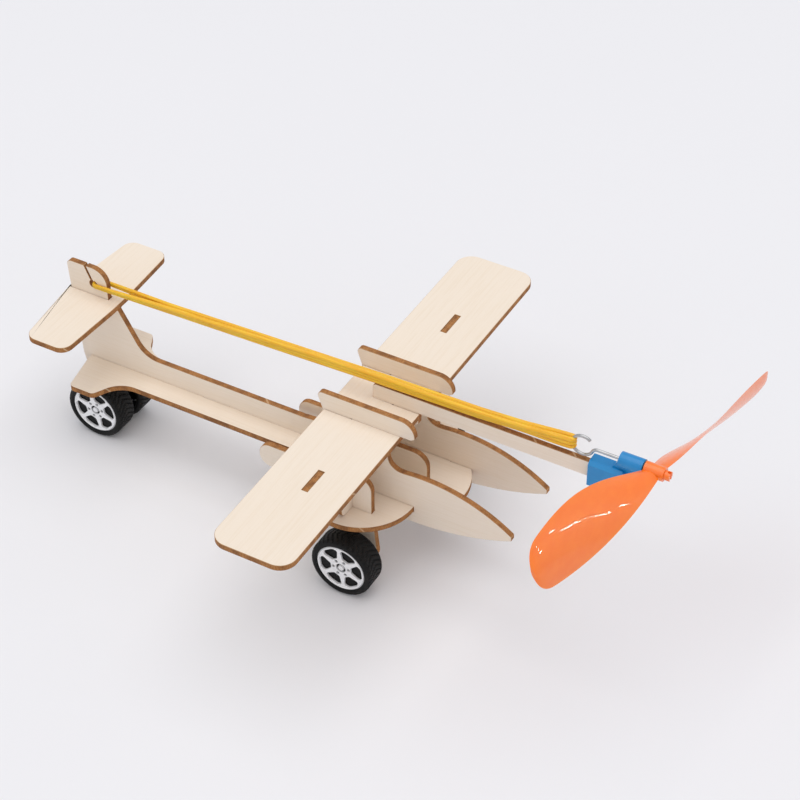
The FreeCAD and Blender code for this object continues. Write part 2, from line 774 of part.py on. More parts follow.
def blade_section(part_way):
    """A thin lens-shaped section, twisted to the blade's pitch and swept a little back."""
    radius = part_way * dim("propeller_diameter").value / 2
    half_chord = blade_chord(part_way) / 2
    pitch = blade_pitch(part_way)
    along = Vector(math.sin(pitch), 0, -math.cos(pitch))
    across = Vector(math.cos(pitch), 0, math.sin(pitch))
    sweep = BLADE_SWEEP * math.sin(math.pi * part_way)
    middle = Vector(dim("propeller_station").value, -radius, HEIGHT.value) - along * sweep
    lead, trail = middle + along * half_chord, middle - along * half_chord
    edges = []
    for start, end, rise in ((lead, trail, 0.5), (trail, lead, -0.5)):
        bulge = across * (rise * BLADE_THICKNESS + BLADE_CAMBER * 2 * half_chord)
        curve = Part.BSplineCurve()
        curve.interpolate([start, middle + bulge, end])
        edges.append(curve.toShape())
    return Part.Wire(edges)


def make_propeller():
    """Two twisted blades on a hub, with a slotted clutch peg; the wire is moulded in.

    The soft blades have taken a set: they lean about Z and cant about Y, by the angles
    in the spreadsheet, while hub and peg stay true to the shaft. Zeros straighten them.
    """
    shaft_point = Vector(dim("propeller_station").value, 0, HEIGHT.value)
    forward = Vector(1, 0, 0)

    def rod(rear, front, radius):
        return Part.makeCylinder(radius, front - rear, Vector(rear, 0, HEIGHT.value), forward)

    ways = []
    for step in range(BLADE_STEPS + 1):
        share = math.sin(math.pi / 2 * step / BLADE_STEPS)
        ways.append(BLADE_ROOT + (BLADE_END - BLADE_ROOT) * share)
    blade = Part.makeLoft([blade_section(way) for way in ways], True, False)
    other = blade.copy()
    other.rotate(shaft_point, forward, 180)
    blades = blade.fuse(other)
    blades.rotate(shaft_point, forward, PARKED_TURN)
    blades.rotate(shaft_point, Vector(0, 1, 0), dim("blade_cant").value)
    blades.rotate(shaft_point, Vector(0, 0, 1), dim("blade_lean").value)
    reach = blades.optimalBoundingBox().XMax - shaft_point.x
    if abs(reach - dim("blade_reach").value) > 0.1:
        raise RuntimeError(f"blade_reach should be {reach:.2f}")
    hub = rod(TUBE_FRONT.value + 0.4, HUB_FRONT.value, HUB_RADIUS)
    peg = rod(HUB_FRONT.value, PEG_FRONT.value, dim("peg_diameter").value / 2)
    shape = hub.multiFuse([peg, blades])
    shape = shape.cut(rod(TUBE_FRONT.value, WIRE_FRONT.value, dim("wire_diameter").value / 2))
    slot_width, slot_depth = 0.9, 0.9
    slot_corner = Vector(PEG_FRONT.value - slot_depth, -slot_width / 2, HEIGHT.value - HUB_RADIUS)
    shape = shape.cut(Part.makeBox(slot_depth + 1, slot_width, HUB_RADIUS * 2, slot_corner))
    propeller = doc.addObject("Part::Feature", "propeller")
    propeller.Label = "propeller"
    propeller.Shape = shape
    keep(propeller)


# ---------------------------------------------------------------- rubber band
def tube(points, radius):
    """A round tube of straight runs with mitred bends."""
    path = Part.makePolygon(points)
    section = Part.Wire([Part.Circle(points[0], points[1] - points[0], radius).toShape()])
    return path.makePipeShell([section], True, False, 1)


def long_hole(rear, front, half_width, level):
    """A flat outline with a square rear end and a round front end."""
    corner_a, corner_b = Vector(rear, -half_width, level), Vector(front, -half_width, level)
    corner_c, corner_d = Vector(front, half_width, level), Vector(rear, half_width, level)
    round_end = Part.Arc(corner_b, Vector(front + half_width, 0, level), corner_c).toShape()
    sides = [(corner_c, corner_d), (corner_d, corner_a), (corner_a, corner_b)]
    return Part.Wire([round_end, *(Part.LineSegment(*ends).toShape() for ends in sides)])


def make_rubber_band():
    """The wound band: a loop over the hook, a slightly sagging bundle, a split to the fin."""
    bundle_line = [(-92.0, 4.9), (-50.0, 6.3), (-14.0, 7.6), (20.0, 8.4), (46.0, 10.0)]
    bundle_radius = 1.55
    bundle = tube([Vector(x, 0, z) for x, z in bundle_line], bundle_radius)

    loop_height, loop_half, slot_half, slot_length = 3.4, 1.6, 0.7, 2.4
    loop_rear = bundle_line[-1][0] - 2
    loop_end = dim("hook_station").value - dim("hook_radius").value + 0.6
    base = HEIGHT.value - loop_height / 2
    outer = long_hole(loop_rear, loop_end, loop_half, base)
    inner = long_hole(loop_end - slot_length, loop_end, slot_half, base)
    face = Part.makeFace([outer, inner], "Part::FaceMakerBullseye")
    loop = face.extrude(Vector(0, 0, loop_height))

    eye_x, eye_z = BAND_EYE[0].value, BAND_EYE[1].value
    join_x, join_z = bundle_line[0][0] + 2, bundle_line[0][1]
    join_spread, eye_spread, strand_radius = 0.9, 1.95, 0.8
    strands = tube(
        [
            Vector(join_x, -join_spread, join_z),
            Vector(eye_x, -eye_spread, eye_z),
            Vector(eye_x, eye_spread, eye_z),
            Vector(join_x, join_spread, join_z),
        ],
        strand_radius,
    )

    band = doc.addObject("Part::Feature", "rubber_band")
    band.Label = "rubber_band"
    band.Shape = bundle.fuse(loop).fuse(strands)
    keep(band)


make_wing()
make_stabiliser()
make_fuselage_plate()
make_keel()
for hand, side in (("left", 1), ("right", -1)):
    make_side_plate(f"{hand}_side_plate", side)
    make_gear_bracket(f"{hand}_gear_bracket", side)
    make_wing_strut(f"{hand}_wing_strut", side)
make_motor_stick()
make_wheels()
make_nose_block()
make_hook_shaft()
make_propeller()
make_rubber_band()
doc.recompute()

for item in doc.Objects:
    if "Invalid" in item.State or "Error" in item.State:
        raise RuntimeError(f"{item.Label} failed to compute")

os.makedirs("parts", exist_ok=True)
for label, item in NODES.items():
    shape = item.Shape
    if shape.isNull() or not shape.isValid() or not shape.Solids:
        raise RuntimeError(f"{label} has no valid solid")
    shape.exportStep(f"parts/{label}.step")
    box = shape.BoundBox
    limits = (box.XMin, box.XMax, box.YMin, box.YMax, box.ZMin, box.ZMax)
    spans = " ".join(f"{limit:7.1f}" for limit in limits)
    print(f"{label:20s} {len(shape.Solids)} solid(s) {shape.Volume:9.1f} mm3  {spans}")
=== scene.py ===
import math

import bmesh
import bpy
from mathutils import Matrix, Vector


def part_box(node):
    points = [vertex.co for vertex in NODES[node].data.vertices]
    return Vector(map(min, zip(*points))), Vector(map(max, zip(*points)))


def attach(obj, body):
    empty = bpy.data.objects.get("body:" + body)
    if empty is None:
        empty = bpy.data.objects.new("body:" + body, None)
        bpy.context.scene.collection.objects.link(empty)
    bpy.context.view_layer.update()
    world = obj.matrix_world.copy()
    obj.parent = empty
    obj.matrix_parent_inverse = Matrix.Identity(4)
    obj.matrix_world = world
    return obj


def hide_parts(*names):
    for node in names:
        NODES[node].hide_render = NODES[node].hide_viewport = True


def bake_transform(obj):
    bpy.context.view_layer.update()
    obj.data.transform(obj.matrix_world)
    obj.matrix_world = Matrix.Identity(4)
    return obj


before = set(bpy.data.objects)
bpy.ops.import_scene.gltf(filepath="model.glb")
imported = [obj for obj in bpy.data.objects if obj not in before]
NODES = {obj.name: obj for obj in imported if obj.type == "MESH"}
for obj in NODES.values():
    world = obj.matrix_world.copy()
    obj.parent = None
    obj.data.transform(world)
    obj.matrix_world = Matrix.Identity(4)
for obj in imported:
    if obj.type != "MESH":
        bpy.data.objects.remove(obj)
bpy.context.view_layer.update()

# Looks of the rubber band plane: laser-cut plywood, moulded plastic, steel wire and rubber.
# The object's sizes are in millimetres here, and MM turns them into Blender's metres.
MM = 0.001
scene = bpy.context.scene
WING_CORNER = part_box("wing_plate")[1] / MM
WING_FRONT, WING_TOP = WING_CORNER.x, WING_CORNER.z


def place(x, y, z):
    """A point in metres from millimetres about the wing's leading edge, on its top face."""
    return Vector(((x + WING_FRONT) * MM, y * MM, (z + WING_TOP) * MM))


def smooth_step(value, low, high):
    """0 below low, 1 above high, and a smooth rise between them."""
    share = min(1.0, max(0.0, (value - low) / (high - low)))
    return share * share * (3 - 2 * share)


# ---------------------------------------------------------------- node helpers
class Shader:
    """A material's node tree, with short calls for the nodes that are used here."""

    def __init__(self, name):
        self.material = bpy.data.materials.new(name)
        self.material.use_nodes = True
        self.tree = self.material.node_tree
        self.surface = self.tree.nodes["Principled BSDF"]
        self.coords = self.tree.nodes.new("ShaderNodeTexCoord")

    def link(self, source, target):
        self.tree.links.new(source, target)

    def put(self, value, socket):
        """Set a socket to a number or colour, or feed it from another socket."""
        if isinstance(value, bpy.types.NodeSocket):
            self.link(value, socket)
        else:
            socket.default_value = value

    def paint(self, **values):
        """Set or feed the surface's own sockets: base_color=... is its Base Color."""
        for name, value in values.items():
            words = name.split("_")
            socket = " ".join(word.upper() if word == "ior" else word.capitalize() for word in words)
            self.put(value, self.surface.inputs[socket])

    def math(self, operation, first, second=0.0, third=0.0):
        node = self.tree.nodes.new("ShaderNodeMath")
        node.operation = operation
        for value, socket in zip((first, second, third), node.inputs):
            self.put(value, socket)
        return node.outputs[0]

    def stretch(self, factors):
        """The object's own coordinates in millimetres, multiplied along each axis."""
        node = self.tree.nodes.new("ShaderNodeMapping")
        node.inputs["Scale"].default_value = [factor / MM for factor in factors]
        self.link(self.coords.outputs["Object"], node.inputs["Vector"])
        return node.outputs[0]

    def noise(self, vector, scale, detail=3.0, roughness=0.55):
        node = self.tree.nodes.new("ShaderNodeTexNoise")
        node.inputs["Scale"].default_value = scale
        node.inputs["Detail"].default_value = detail
        node.inputs["Roughness"].default_value = roughness
        self.link(vector, node.inputs["Vector"])
        return node.outputs["Fac"]

    def steps(self, value, low, high, low_to=0.0, high_to=1.0):
        """Map a value smoothly from one range to another."""
        node = self.tree.nodes.new("ShaderNodeMapRange")
        node.interpolation_type = "SMOOTHSTEP"
        for number, part in enumerate((value, low, high, low_to, high_to)):
            self.put(part, node.inputs[number])
        return node.outputs[0]

    def mix(self, share, first, second):
        node = self.tree.nodes.new("ShaderNodeMix")
        node.data_type = "RGBA"
        self.put(share, node.inputs[0])
        self.put(first, node.inputs[6])
        self.put(second, node.inputs[7])
        return node.outputs[2]

    def bump(self, height, distance, strength=1.0):
        node = self.tree.nodes.new("ShaderNodeBump")
        node.inputs["Distance"].default_value = distance * MM
        node.inputs["Strength"].default_value = strength
        self.link(height, node.inputs["Height"])
        self.link(node.outputs[0], self.surface.inputs["Normal"])

    def split(self, vector):
        node = self.tree.nodes.new("ShaderNodeSeparateXYZ")
        self.link(vector, node.inputs[0])
        return node.outputs


def rgb(red, green, blue):
    return (red, green, blue, 1.0)


# ---------------------------------------------------------------- materials
PLY = 2.0
CREAM = rgb(0.86, 0.752, 0.635)
CREAM_GRAIN = rgb(0.79, 0.66, 0.51)
TOAST = rgb(0.34, 0.130, 0.032)
CHAR = rgb(0.10, 0.034, 0.010)
GOLD_FIBRE = rgb(0.47, 0.225, 0.075)
NIB = rgb(0.78, 0.58, 0.35)
NIB_PITCH = 62.0
EDGE_ROUGHNESS, FACE_ROUGHNESS, GRAIN_RELIEF = 0.86, 0.62, 0.5
GRAIN_SHARE, PORE_SHARE, DRIFT_SHARE = 0.42, 0.22, 0.12
GLUE_LINE, GLUE_HALF_WIDTH = 0.17, 0.022
CHAR_SHARE, GLUE_SHARE, NIB_SHARE = 0.75, 0.45, 0.45


def plywood(name, through, middle, grain, seed):
    """Sanded basswood ply: cream faces with faint grain, and laser-browned layered edges.

    through is the axis (0, 1, 2) that crosses the plate, middle its middle in millimetres
    and grain the axis that the face veneer runs along.
    """
    shader = Shader(name)
    spot = shader.split(shader.stretch((1, 1, 1)))
    normal = shader.split(shader.coords.outputs["Normal"])
    facing = shader.math("ABSOLUTE", normal[through])
    on_face = shader.steps(facing, 0.6, 0.8)

    # face veneer: long soft streaks, fine pores and a slow drift of tone
    streaks = [0.55, 0.55, 0.55]
    streaks[grain] = 0.018
    grain_fine = shader.noise(shader.stretch(streaks), 3.1 + 0.1 * seed, 5.0, 0.62)
    pores = [2.4, 2.4, 2.4]
    pores[grain] = 0.12
    pore = shader.noise(shader.stretch(pores), 2.0, 2.0, 0.5)
    drift = shader.noise(shader.stretch((0.02, 0.02, 0.02)), 1.3 + seed, 2.0)
    streak_share = shader.steps(grain_fine, 0.42, 0.72, 0.0, GRAIN_SHARE)
    pore_share = shader.steps(pore, 0.60, 0.74, 0.0, PORE_SHARE)
    share = shader.math("MAXIMUM", streak_share, pore_share)
    share = shader.math("ADD", share, shader.steps(drift, 0.3, 0.8, 0.0, DRIFT_SHARE))
    face = shader.mix(share, CREAM, CREAM_GRAIN)

    # edge: toast brown with charred borders and glue lines, fibrous in the middle ply
    depth = shader.math("DIVIDE", shader.math("SUBTRACT", spot[through], middle), PLY)
    depth = shader.math("ABSOLUTE", depth)
    across = [2.6, 2.6, 2.6]
    across[through] = 0.55
    fibre = shader.noise(shader.stretch(across), 1.5, 4.0, 0.7)
    mottle = shader.noise(shader.stretch((0.16, 0.16, 0.16)), 1.7 + 0.2 * seed, 3.0)
    edge = shader.mix(shader.steps(fibre, 0.36, 0.66), TOAST, GOLD_FIBRE)
    edge = shader.mix(shader.steps(mottle, 0.40, 0.70, 0.0, 0.55), edge, CHAR)
    glue = shader.math("COMPARE", depth, GLUE_LINE, GLUE_HALF_WIDTH)
    border = shader.steps(depth, 0.36, 0.5)
    glue_dark = shader.math("MULTIPLY", glue, GLUE_SHARE)
    border_dark = shader.math("MULTIPLY", border, CHAR_SHARE)
    edge = shader.mix(shader.math("MAXIMUM", glue_dark, border_dark), edge, CHAR)

    # small uncut bridges left by the laser, a fraction of a millimetre wide
    run = shader.math("MULTIPLY_ADD", spot[1], 1.07, spot[0])
    run = shader.math("MULTIPLY_ADD", spot[2], 1.13, run)
    cells = shader.tree.nodes.new("ShaderNodeTexVoronoi")
    cells.voronoi_dimensions = "1D"
    cells.inputs["Scale"].default_value = 1 / NIB_PITCH
    shader.link(shader.math("ADD", run, 11.0 * seed), cells.inputs["W"])
    nib = shader.steps(cells.outputs["Distance"], 0.005, 0.008, NIB_SHARE, 0.0)
    edge = shader.mix(nib, edge, NIB)

    shader.paint(base_color=shader.mix(on_face, edge, face))
    shader.paint(roughness=shader.steps(on_face, 0.0, 1.0, EDGE_ROUGHNESS, FACE_ROUGHNESS))
    ridges = shader.math("MULTIPLY", grain_fine, GRAIN_RELIEF)
    pits = shader.math("MULTIPLY", pore, -GRAIN_RELIEF)
    height = shader.math("ADD", ridges, pits)
    shader.bump(shader.math("ADD", height, fibre), 0.05, 0.55)
    return shader.material


def charred():
    """The thin browned line that the laser leaves along a plate's outline."""
    shader = Shader("char_line")
    spots = shader.noise(shader.stretch((1, 1, 1)), 0.9, 3.0)
    shader.paint(
        base_color=shader.mix(spots, rgb(0.30, 0.135, 0.045), rgb(0.62, 0.40, 0.20)),
        roughness=shader.steps(spots, 0.2, 0.8, 0.7, 0.9),
    )
    return shader.material


def moulded(name, colour, deep, gloss, seed, coat=0.2, through_light=0.0):
    """Injection-moulded plastic: a deep colour with slow flow marks and a fine skin.

    gloss is the least roughness, coat the share of a clear top layer, and through_light
    the share of the light that spreads inside.
    """
    shader = Shader(name)
    flow = shader.noise(shader.stretch((0.10, 0.05, 0.10)), 2.0 + seed, 2.0)
    skin = shader.noise(shader.stretch((1, 1, 1)), 0.8, 3.0)
    shader.paint(
        base_color=shader.mix(shader.steps(flow, 0.3, 0.7), colour, deep),
        roughness=shader.steps(skin, 0.3, 0.7, gloss, gloss + 0.10),
        subsurface_weight=through_light,
        subsurface_radius=(1.0, 0.45, 0.2),
        subsurface_scale=1.2 * MM,
        coat_weight=coat,
        coat_roughness=0.03,
    )
    shader.bump(skin, 0.006, 0.25)
    return shader.material


def steel():
    """Drawn wire: grey steel with fine marks along its length and dull patches."""
    shader = Shader("drawn_steel")
    draw = shader.noise(shader.stretch((0.08, 3.0, 3.0)), 2.0, 3.0)
    patch = shader.noise(shader.stretch((0.3, 0.3, 0.3)), 1.5, 2.0)
    shader.paint(
        base_color=shader.mix(patch, rgb(0.40, 0.40, 0.41), rgb(0.60, 0.60, 0.60)),
        metallic=1.0,
        roughness=shader.steps(draw, 0.3, 0.7, 0.22, 0.42),
    )
    shader.bump(draw, 0.02, 0.4)
    return shader.material


def band_rubber():
    """Natural rubber: amber, slightly see-through, dusted with a little pale talc."""
    shader = Shader("amber_rubber")
    along = shader.noise(shader.stretch((0.03, 0.9, 0.9)), 2.2, 3.0)
    dust = shader.noise(shader.stretch((0.25, 1.2, 1.2)), 1.4, 4.0)
    colour = shader.mix(shader.steps(along, 0.32, 0.7), rgb(0.84, 0.42, 0.012), rgb(0.92, 0.56, 0.03))
    colour = shader.mix(shader.steps(dust, 0.58, 0.80, 0.0, 0.22), colour, rgb(0.96, 0.72, 0.16))
    shader.paint(
        base_color=colour,
        roughness=shader.steps(dust, 0.3, 0.7, 0.34, 0.52),
        subsurface_weight=0.35,
        subsurface_radius=(1.0, 0.55, 0.12),
        subsurface_scale=0.8 * MM,
    )
    shader.bump(dust, 0.05, 0.5)
    return shader.material


def tyre_rubber():
    """Soft black rubber with a fine dusty grain."""
    shader = Shader("black_tyre")
    grain = shader.noise(shader.stretch((1, 1, 1)), 2.6, 4.0)
    dust = shader.noise(shader.stretch((0.12, 0.12, 0.12)), 1.6, 3.0)
    shader.paint(
        base_color=shader.mix(dust, rgb(0.003, 0.003, 0.0035), rgb(0.009, 0.0085, 0.008)),
        roughness=shader.steps(dust, 0.3, 0.7, 0.46, 0.66),
        specular_ior_level=0.22,
    )
    shader.bump(grain, 0.05, 0.6)
    return shader.material


# each plate's axis through it (0, 1, 2), and the axis that its face grain runs along
PLATES = {
    "wing_plate": (2, 1),
    "stabiliser_plate": (2, 1),
    "fuselage_plate": (2, 0),
    "keel_plate": (1, 0),
    "left_side_plate": (1, 0),
    "right_side_plate": (1, 0),
    "left_gear_bracket": (1, 2),
    "right_gear_bracket": (1, 2),
    "left_wing_strut": (0, 2),
    "right_wing_strut": (0, 2),
    "motor_stick": (1, 0),
}
CHAR_LINE = charred()


def dress(node, *materials):
    """Give a carried-over node its materials."""
    mesh = NODES[node].data
    while len(mesh.materials) < len(materials):
        mesh.materials.append(None)
    for slot, material in zip(NODES[node].material_slots, materials):
        slot.material = material


def soften(node, width, segments, material):
    """Weld the node's facets into plain faces and bevel its edges by a hair.

    material is the number of the material slot that the bevel gets.
    """
    item = NODES[node]
    weld = item.modifiers.new("weld", "WELD")
    weld.merge_threshold = 0.002 * MM
    flat = item.modifiers.new("flat", "DECIMATE")
    flat.decimate_type = "DISSOLVE"
    flat.angle_limit = math.radians(0.5)
    bevel = item.modifiers.new("break", "BEVEL")
    bevel.width = width * MM
    bevel.segments = segments
    bevel.limit_method = "ANGLE"
    bevel.angle_limit = math.radians(40)
    bevel.material = material


BURNT_EDGE, MOULDED_EDGE = 0.13, 0.25
for order, (node, (through, grain)) in enumerate(PLATES.items()):
    low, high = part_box(node)
    middle = (low[through] + high[through]) / 2 / MM
    dress(node, plywood(f"plywood_{node}", through, middle, grain, order), CHAR_LINE)
    soften(node, BURNT_EDGE, segments=1, material=1)

STEEL = steel()
for node in ("hook_shaft", "front_axle", "rear_axle"):
    dress(node, STEEL)
BLUE = moulded(
    "blue_plastic", rgb(0.004, 0.245, 0.58), rgb(0.003, 0.225, 0.55), gloss=0.30, seed=1
)
ORANGE = moulded(
    "orange_plastic",
    rgb(1.0, 0.205, 0.008),
    rgb(0.98, 0.185, 0.006),
    gloss=0.36,
    seed=2,
    coat=0.7,
    through_light=0.12,
)
dress("nose_block", BLUE)
soften("nose_block", MOULDED_EDGE, segments=3, material=0)
dress("propeller", ORANGE)


# ---------------------------------------------------------------- mesh helpers
def new_piece(name, mesh, material, body, *nodes, smooth=40):
    """A finished piece: material, smooth shading up to an angle, its body and what it replaces."""
    mesh.name = name
    mesh.materials.clear()
    mesh.materials.append(material)
    mesh.shade_smooth()
    mesh.set_sharp_from_angle(angle=math.radians(smooth))
    piece = bpy.data.objects.new(name, mesh)
    scene.collection.objects.link(piece)
    if body:
        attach(piece, body)
    if nodes:
        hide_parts(*nodes)
    return piece


def lathe(mesh, profile, segments, swell=None):
    """Turn a closed (y, radius) profile, in millimetres, about the Y axis.

    swell, where given, adds to each point's radius by step, place along the axis and radius.
    """
    rings = []
    for step in range(segments):
        angle = 2 * math.pi * step / segments
        ring = []
        for along, radius in profile:
            reach = (radius + (swell(step, along, radius) if swell else 0.0)) * MM
            ring.append(mesh.verts.new((reach * math.sin(angle), along * MM, reach * math.cos(angle))))
        rings.append(ring)
    count = len(profile)
    for step, ring in enumerate(rings):
        after = rings[(step + 1) % segments]
        for number in range(count):
            following = (number + 1) % count
            mesh.faces.new((ring[number], after[number], after[following], ring[following]))


def round_corner(centre, radius, start, end, steps):
    """Points on an arc from one angle to another, in degrees, both ends included."""
    points = []
    for step in range(steps + 1):
        angle = math.radians(start + (end - start) * step / steps)
        points.append((centre[0] + radius * math.cos(angle), centre[1] + radius * math.sin(angle)))
    return points


def flat_outline(curve, points):
    """Add one closed straight-sided outline, in millimetres, to a flat curve."""
    spline = curve.splines.new("POLY")
    spline.points.add(len(points) - 1)
    for point, (x, y) in zip(spline.points, points):
        point.co = (x * MM, y * MM, 0, 1)
    spline.use_cyclic_u = True


def circle(centre, radius, steps):
    """Points (x, y) all the way round a circle."""
    return round_corner(centre, radius, 0, 360, steps)[:-1]


def rounded(corners, radius, steps=5):
    """Round a convex outline's corners by the same radius."""
    points = []
    for number, corner in enumerate(corners):
        here = Vector(corner)
        back = (Vector(corners[number - 1]) - here).normalized()
        ahead = (Vector(corners[(number + 1) % len(corners)]) - here).normalized()
        half = back.angle(ahead) / 2
        centre = here + (back + ahead).normalized() * (radius / math.sin(half))
        first = here + back * (radius / math.tan(half)) - centre
        last = here + ahead * (radius / math.tan(half)) - centre
        for step in range(steps + 1):
            arm = first.lerp(last, step / steps).normalized() * radius
            points.append(tuple(centre + arm))
    return points


def thick_sheet(outlines, thickness, bevel):
    """A flat sheet with holes and slightly rounded edges, as a mesh about z = 0."""
    curve = bpy.data.curves.new("sheet", "CURVE")
    curve.dimensions = "2D"
    curve.fill_mode = "BOTH"
    curve.extrude = (thickness / 2 - bevel) * MM
    curve.bevel_depth = bevel * MM
    curve.bevel_resolution = 2
    curve.offset = -bevel * MM
    for outline in outlines:
        flat_outline(curve, outline)
    holder = bpy.data.objects.new("sheet", curve)
    mesh = bpy.data.meshes.new_from_object(holder)
    bpy.data.objects.remove(holder)
    bpy.data.curves.remove(curve)
    return mesh


# ---------------------------------------------------------------- wheels
TYRE_LOW, TYRE_HIGH = (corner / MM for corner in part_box("front_left_tyre"))
HALF_WIDTH = (TYRE_HIGH.y - TYRE_LOW.y) / 2
TYRE_RADIUS = (TYRE_HIGH.z - TYRE_LOW.z) / 2
TYRE_WALL = 2.2
RIM_RADIUS = TYRE_RADIUS - TYRE_WALL
SHOULDER = 1.3
TREAD_STEPS = 288
TREAD_DEPTH, TREAD_REACH, TREAD_SLANT = 0.34, 0.45, 1.4
DISC_FACE = HALF_WIDTH - 0.55
DISC_THICKNESS = 0.8
# the dark web close behind the disc, and the hole in it for the hub cap's rod
WEB_FRONT, WEB_BACK, WEB_BORE = DISC_FACE - 0.86, DISC_FACE - 1.9, 1.1


def tread(step, along, radius):
    """Slanting grooves across the tread and over its shoulders, and nothing on the walls.

    One step pair in four is a groove.
    """
    if radius < TYRE_RADIUS - TREAD_REACH:
        return 0.0
    phase = (step // 2 + round(abs(along) * TREAD_SLANT)) % 4
    return -TREAD_DEPTH if phase == 0 else 0.0


def make_tyre_mesh():
    """Tread, shoulders, a moulded bead ring on each wall and a dark web inside the rim."""
    crown, stations = HALF_WIDTH - SHOULDER, 14
    bead_face = HALF_WIDTH - 0.12
    profile = [(-crown + 2 * crown * step / stations, TYRE_RADIUS) for step in range(1, stations)]
    profile += round_corner((crown, TYRE_RADIUS - SHOULDER), SHOULDER, 90, 0, 5)
    profile += [
        (HALF_WIDTH, RIM_RADIUS + 0.6),
        (bead_face, RIM_RADIUS + 0.45),
        (bead_face, RIM_RADIUS + 0.3),
        (HALF_WIDTH - 0.35, RIM_RADIUS + 0.05),
        (DISC_FACE - 0.5, RIM_RADIUS),
        (WEB_FRONT, RIM_RADIUS),
        (WEB_FRONT, WEB_BORE),
        (WEB_BACK, WEB_BORE),
        (WEB_BACK, RIM_RADIUS - 0.2),
        (-HALF_WIDTH + 0.6, RIM_RADIUS),
        (-HALF_WIDTH + 0.25, RIM_RADIUS + 0.1),
        (-HALF_WIDTH, RIM_RADIUS + 0.4),
    ]
    profile += round_corner((-crown, TYRE_RADIUS - SHOULDER), SHOULDER, 180, 90, 5)
    mesh = bmesh.new()
    lathe(mesh, profile, TREAD_STEPS, tread)
    return mesh


# one spoke window's corners, with the hub at (0, 0)
WINDOW = [(-1.0, 3.55), (-3.05, 6.2), (-1.7, 7.4), (1.7, 7.4), (3.05, 6.2), (1.0, 3.55)]
WINDOW_ROUND = 0.75
HUB_HOLE_AT, HUB_HOLE_RADIUS = 2.7, 0.58
GROOVE_OUTER, GROOVE_INNER = 1.72, 1.05
HUB_BORE, HUB_RADIUS = 1.02, 2.2
OUTLINE_STEPS, HUB_STEPS, HOLE_STEPS = 96, 40, 16
RING_WIDTH, RING_DEPTH, RING_LIP = 0.8, 2.0, 0.3


def make_rim_mesh():
    """Six-spoked disc with hub holes, its outer ring, a hub cap in a groove, and the hub tube."""
    outlines = [
        circle((0, 0), RIM_RADIUS - 0.05, OUTLINE_STEPS),
        circle((0, 0), GROOVE_OUTER, HUB_STEPS),
    ]
    for window in range(6):
        turn = Matrix.Rotation(math.radians(60 * window), 2)
        shape = [tuple(turn @ Vector(corner)) for corner in WINDOW]
        outlines.append(rounded(list(reversed(shape)), WINDOW_ROUND))
        hole = turn @ Vector((0, HUB_HOLE_AT))
        outlines.append(circle(hole, HUB_HOLE_RADIUS, HOLE_STEPS))
    disc = thick_sheet(outlines, DISC_THICKNESS, bevel=0.1)
    mesh = bmesh.new()
    mesh.from_mesh(disc)
    bpy.data.meshes.remove(disc)
    upright = Matrix.Rotation(math.radians(-90), 4, "X")
    bmesh.ops.transform(mesh, matrix=upright, verts=mesh.verts)
    middle = DISC_FACE - DISC_THICKNESS / 2
    bmesh.ops.translate(mesh, vec=(0, middle * MM, 0), verts=mesh.verts)
    ring_back, ring_inside = DISC_FACE - RING_DEPTH, RIM_RADIUS - RING_WIDTH
    ring = [(ring_back, ring_inside), (DISC_FACE, ring_inside)]
    ring += round_corner((DISC_FACE, ring_inside + RING_LIP), RING_LIP, 270, 450, 6)
    ring += [(DISC_FACE - 0.1, RIM_RADIUS), (ring_back, RIM_RADIUS)]
    lathe(mesh, ring, OUTLINE_STEPS)
    hub_end, inner_end = DISC_FACE - 3.3, -HALF_WIDTH - 0.55
    cap_pin, cap_flat = 0.05, 0.75
    cap = [(hub_end, cap_pin), (DISC_FACE, cap_pin), (DISC_FACE, cap_flat)]
    cap += [(DISC_FACE - 0.12, GROOVE_INNER), (hub_end, GROOVE_INNER)]
    lathe(mesh, cap, HUB_STEPS)
    hub = [(inner_end, HUB_BORE), (hub_end, HUB_BORE), (hub_end, HUB_RADIUS), (inner_end, HUB_RADIUS)]
    lathe(mesh, hub, HUB_STEPS)
    return mesh


RIM_PLASTIC = moulded(
    "white_plastic", rgb(0.92, 0.92, 0.935), rgb(0.90, 0.90, 0.915), gloss=0.26, seed=3, coat=0.3
)
TYRE_RUBBER = tyre_rubber()


def make_wheel(name, body, turned):
    """One wheel's tyre and rim, at its CAD tyre; turned is the spokes' angle in degrees."""
    low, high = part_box(f"{name}_tyre")
    middle = (low + high) / 2
    parts = (
        ("tyre", make_tyre_mesh, TYRE_RUBBER, "tyre_rubber"),
        ("rim", make_rim_mesh, RIM_PLASTIC, "white_plastic"),
    )
    for part, make, material, slot in parts:
        shape = make()
        bmesh.ops.recalc_face_normals(shape, faces=shape.faces)
        pose = Matrix.Translation(middle) @ Matrix.Rotation(math.radians(turned), 4, "Y")
        if middle.y < 0:
            pose = pose @ Matrix.Rotation(math.pi, 4, "Z")
        bmesh.ops.transform(shape, matrix=pose, verts=shape.verts)
        mesh = bpy.data.meshes.new(f"{name}_{part}")
        shape.to_mesh(mesh)
        shape.free()
        piece = new_piece(f"{name}_{part}_detail", mesh, material, body, f"{name}_{part}")


SPOKES_TURNED = {"front": 24, "rear": 18}
for end, turned in SPOKES_TURNED.items():
    for hand, sign in (("right", 1), ("left", -1)):
        make_wheel(f"{end}_{hand}", f"{end}_wheelset", sign * turned)


